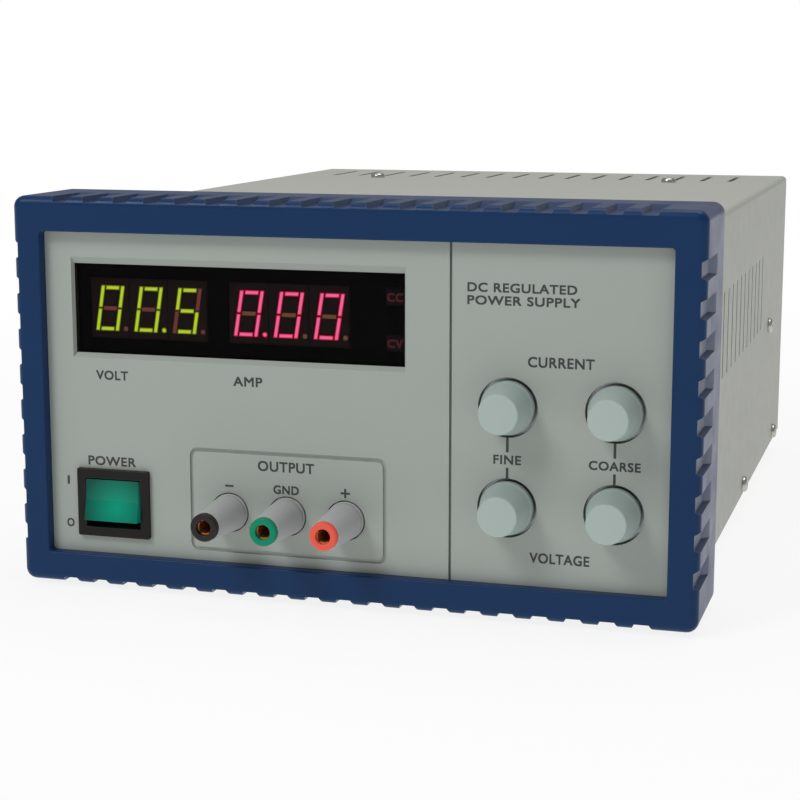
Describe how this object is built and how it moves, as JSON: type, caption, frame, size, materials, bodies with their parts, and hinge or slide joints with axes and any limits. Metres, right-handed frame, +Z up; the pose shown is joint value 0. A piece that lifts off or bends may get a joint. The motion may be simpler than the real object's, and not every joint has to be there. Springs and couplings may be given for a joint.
{
  "type": "bench power supply",
  "caption": "Steel-cased bench power supply with a moulded bumper front, two LED meters, rocker switch, control knobs and screw-cap output posts.",
  "frame": {"origin": "middle of the whole object's box, on the surface its feet stand on", "axes": "+X to the right seen from the front, +Y from the front to the rear, +Z up; the front panel faces -Y"},
  "size_m": [0.2176, 0.3136, 0.1252],
  "materials": {
    "bumper_rubber": "matte moulded, softly sheened",
    "panel_plastic": "fine moulded grain",
    "case_paint": "fine textured powder coat",
    "meter_lens": "polished, tinted",
    "volt_led": "dark face with green-yellow segments",
    "amp_led": "dark face with red segments",
    "lamp": "dim red legend",
    "circuit_board": "solder mask",
    "zinc_plate": "zinc plated",
    "screw_plate": "bright nickel plate",
    "foot_rubber": "matte black",
    "switch_black": "satin black",
    "switch_green": "translucent, lit",
    "tinned_brass": "tinned",
    "knob_plastic": "fine satin",
    "shaft_metal": "machined",
    "potentiometer_case": "moulded",
    "post_metal": "bright turned",
    "post_grey": "smooth moulded",
    "post_black": "smooth moulded",
    "post_green": "smooth moulded",
    "post_red": "smooth moulded",
    "core_steel": "varnished laminations",
    "winding": "taped copper windings",
    "capacitor_sleeve": "shrink sleeve",
    "heatsink_black": "black anodised",
    "device_black": "moulded epoxy",
    "fan_black": "glass filled",
    "guard_wire": "bright plated wire",
    "inlet_black": "moulded",
    "selector_red": "moulded",
    "fuse_glass": "clear tube"
  },
  "bodies": {
    "case": {"front_bumper": "bumper_rubber", "front_panel": "panel_plastic", "display_window": "meter_lens", "sub_panel": "zinc_plate", "chassis": "case_paint", "top_cover": "case_paint", "rear_panel": "case_paint", "rubber_feet": "foot_rubber", "cover_screws": "screw_plate", "assembly_screws": "screw_plate", "rocker_housing": "switch_black", "rocker_terminals": "tinned_brass", "volt_digits": "volt_led", "amp_digits": "amp_led", "status_lamps": "lamp", "meter_board": "circuit_board", "board_spacers": "tinned_brass", "potentiometer_bodies": "potentiometer_case", "potentiometer_nuts": "screw_plate", "post_insulators": "post_grey", "post_nuts": "post_metal", "transformer_core": "core_steel", "transformer_winding": "winding", "transformer_bracket": "zinc_plate", "main_board": "circuit_board", "filter_capacitors": "capacitor_sleeve", "heatsink": "heatsink_black", "heatsink_bracket": "zinc_plate", "power_semiconductors": "device_black", "fan_frame": "fan_black", "fan_guard": "guard_wire", "fan_screws": "screw_plate", "mains_inlet": "inlet_black", "inlet_blades": "tinned_brass", "voltage_selector": "inlet_black", "negative_post_stem": "post_metal", "ground_post_stem": "post_metal", "positive_post_stem": "post_metal"},
    "rocker": {"power_rocker": "switch_green"},
    "current_fine": {"current_fine_knob": "knob_plastic", "current_fine_shaft": "shaft_metal"},
    "current_coarse": {"current_coarse_knob": "knob_plastic", "current_coarse_shaft": "shaft_metal"},
    "voltage_fine": {"voltage_fine_knob": "knob_plastic", "voltage_fine_shaft": "shaft_metal"},
    "voltage_coarse": {"voltage_coarse_knob": "knob_plastic", "voltage_coarse_shaft": "shaft_metal"},
    "negative_washer": {"negative_clamp_washer": "screw_plate"},
    "negative_cap": {"negative_post_cap": "post_grey", "negative_post_tip": "post_black"},
    "ground_washer": {"ground_clamp_washer": "screw_plate"},
    "ground_cap": {"ground_post_cap": "post_grey", "ground_post_tip": "post_green"},
    "positive_washer": {"positive_clamp_washer": "screw_plate"},
    "positive_cap": {"positive_post_cap": "post_grey", "positive_post_tip": "post_red"},
    "fan_rotor": {"fan_rotor": "fan_black"},
    "fuse_drawer": {"fuse_drawer": "inlet_black", "mains_fuse": "fuse_glass"},
    "selector_slide": {"selector_slide": "selector_red"}
  },
  "joints": [
    {"name": "power_rocker_tilt", "type": "hinge", "parent": "case", "child": "rocker", "pos_m": [-0.07765, -0.13085, 0.02795], "axis": [1, 0, 0], "range_deg": [0, 18]},
    {"name": "current_fine_turn", "type": "hinge", "parent": "case", "child": "current_fine", "pos_m": [0.0505, -0.13895, 0.0654], "axis": [0, 1, 0], "range_deg": [-140, 140]},
    {"name": "current_coarse_turn", "type": "hinge", "parent": "case", "child": "current_coarse", "pos_m": [0.0828, -0.13895, 0.0654], "axis": [0, 1, 0], "range_deg": [0, 280]},
    {"name": "voltage_fine_turn", "type": "hinge", "parent": "case", "child": "voltage_fine", "pos_m": [0.0505, -0.13895, 0.0349], "axis": [0, 1, 0], "range_deg": [-140, 140]},
    {"name": "voltage_coarse_turn", "type": "hinge", "parent": "case", "child": "voltage_coarse", "pos_m": [0.0828, -0.13895, 0.0349], "axis": [0, 1, 0], "range_deg": [0, 280]},
    {"name": "negative_cap_travel", "type": "slide", "parent": "case", "child": "negative_washer", "axis": [0, -1, 0], "range_m": [0, 0.004]},
    {"name": "negative_cap_turn", "type": "hinge", "parent": "negative_washer", "child": "negative_cap", "pos_m": [-0.03845, -0.13895, 0.0275], "axis": [0, -1, 0], "range_deg": [0, 1440]},
    {"name": "ground_cap_travel", "type": "slide", "parent": "case", "child": "ground_washer", "axis": [0, -1, 0], "range_m": [0, 0.004]},
    {"name": "ground_cap_turn", "type": "hinge", "parent": "ground_washer", "child": "ground_cap", "pos_m": [-0.0194, -0.13895, 0.0275], "axis": [0, -1, 0], "range_deg": [0, 1440]},
    {"name": "positive_cap_travel", "type": "slide", "parent": "case", "child": "positive_washer", "axis": [0, -1, 0], "range_m": [0, 0.004]},
    {"name": "positive_cap_turn", "type": "hinge", "parent": "positive_washer", "child": "positive_cap", "pos_m": [-0.00035, -0.13895, 0.0275], "axis": [0, -1, 0], "range_deg": [0, 1440]},
    {"name": "fan_spin", "type": "hinge", "parent": "case", "child": "fan_rotor", "pos_m": [0.022, 0.14205, 0.0647], "axis": [0, 1, 0], "continuous": true},
    {"name": "fuse_drawer_slide", "type": "slide", "parent": "case", "child": "fuse_drawer", "axis": [0, 1, 0], "range_m": [0, 0.016]},
    {"name": "voltage_selector_slide", "type": "slide", "parent": "case", "child": "selector_slide", "axis": [1, 0, 0], "range_m": [0, 0.004]}
  ],
  "couplings": [
    {"joint": "negative_cap_travel", "follows": "negative_cap_turn", "m_per_rad": 0.00015915},
    {"joint": "ground_cap_travel", "follows": "ground_cap_turn", "m_per_rad": 0.00015915},
    {"joint": "positive_cap_travel", "follows": "positive_cap_turn", "m_per_rad": 0.00015915}
  ]
}
